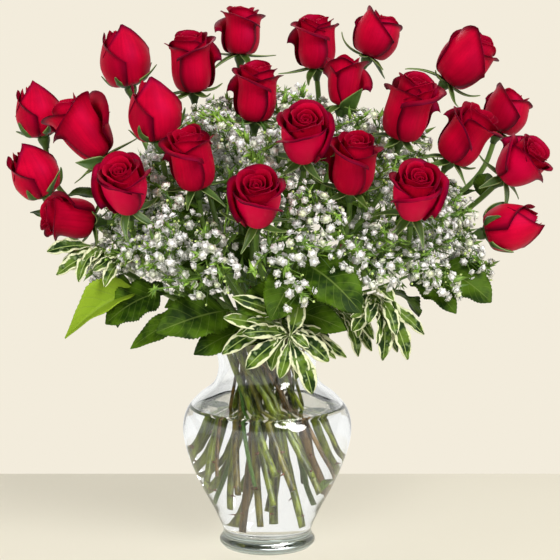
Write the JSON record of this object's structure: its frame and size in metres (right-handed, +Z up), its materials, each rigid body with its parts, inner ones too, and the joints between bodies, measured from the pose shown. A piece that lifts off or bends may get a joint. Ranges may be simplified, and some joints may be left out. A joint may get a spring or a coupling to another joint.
{
  "type": "rose bouquet in a glass vase",
  "caption": "Wide fan of long-stemmed red roses with baby's breath and variegated leaves, standing in a clear ginger-jar glass vase of water.",
  "frame": {"origin": "centre of the vase's flat foot, where it stands", "axes": "+Z up through the vase; the bouquet's face looks along -Y; +X is to the right of someone who looks at its face"},
  "size_m": [0.5159, 0.3362, 0.5169],
  "materials": {
    "petals": "crimson velvet petals, near black in the folds",
    "rose_green": "satin green stems and sepals, brown thorns",
    "lemon_leaf": "leathery dark green, semi-gloss, pale veins",
    "pittosporum": "grey-green leaf with a cream edge, satin",
    "babys_breath": "matt white florets on green twigs",
    "clear_glass": "clear polished blown glass",
    "water": "clear still water"
  },
  "bodies": {
    "root": {"rose_bloom_01": "petals", "rose_bloom_02": "petals", "rose_bloom_03": "petals", "rose_bloom_04": "petals", "rose_bloom_05": "petals", "rose_bloom_06": "petals", "rose_bloom_07": "petals", "rose_bloom_08": "petals", "rose_bloom_09": "petals", "rose_bloom_10": "petals", "rose_bloom_11": "petals", "rose_bloom_12": "petals", "rose_bloom_13": "petals", "rose_bloom_14": "petals", "rose_bloom_15": "petals", "rose_bloom_16": "petals", "rose_bloom_17": "petals", "rose_bloom_18": "petals", "rose_bloom_19": "petals", "rose_bloom_20": "petals", "rose_bloom_21": "petals", "rose_bloom_22": "petals", "rose_bloom_23": "petals", "rose_bloom_24": "petals", "rose_stem_01": "rose_green", "rose_stem_02": "rose_green", "rose_stem_03": "rose_green", "rose_stem_04": "rose_green", "rose_stem_05": "rose_green", "rose_stem_06": "rose_green", "rose_stem_07": "rose_green", "rose_stem_08": "rose_green", "rose_stem_09": "rose_green", "rose_stem_10": "rose_green", "rose_stem_11": "rose_green", "rose_stem_12": "rose_green", "rose_stem_13": "rose_green", "rose_stem_14": "rose_green", "rose_stem_15": "rose_green", "rose_stem_16": "rose_green", "rose_stem_17": "rose_green", "rose_stem_18": "rose_green", "rose_stem_19": "rose_green", "rose_stem_20": "rose_green", "rose_stem_21": "rose_green", "rose_stem_22": "rose_green", "rose_stem_23": "rose_green", "rose_stem_24": "rose_green", "lemon_leaf_left": "lemon_leaf", "lemon_leaf_right": "lemon_leaf", "lemon_leaf_front": "lemon_leaf", "lemon_leaf_back": "lemon_leaf", "pittosporum_front": "pittosporum", "pittosporum_right": "pittosporum", "pittosporum_left": "pittosporum", "babys_breath_1": "babys_breath", "babys_breath_2": "babys_breath", "babys_breath_3": "babys_breath", "vase": "clear_glass", "water": "water"}
  },
  "joints": []
}
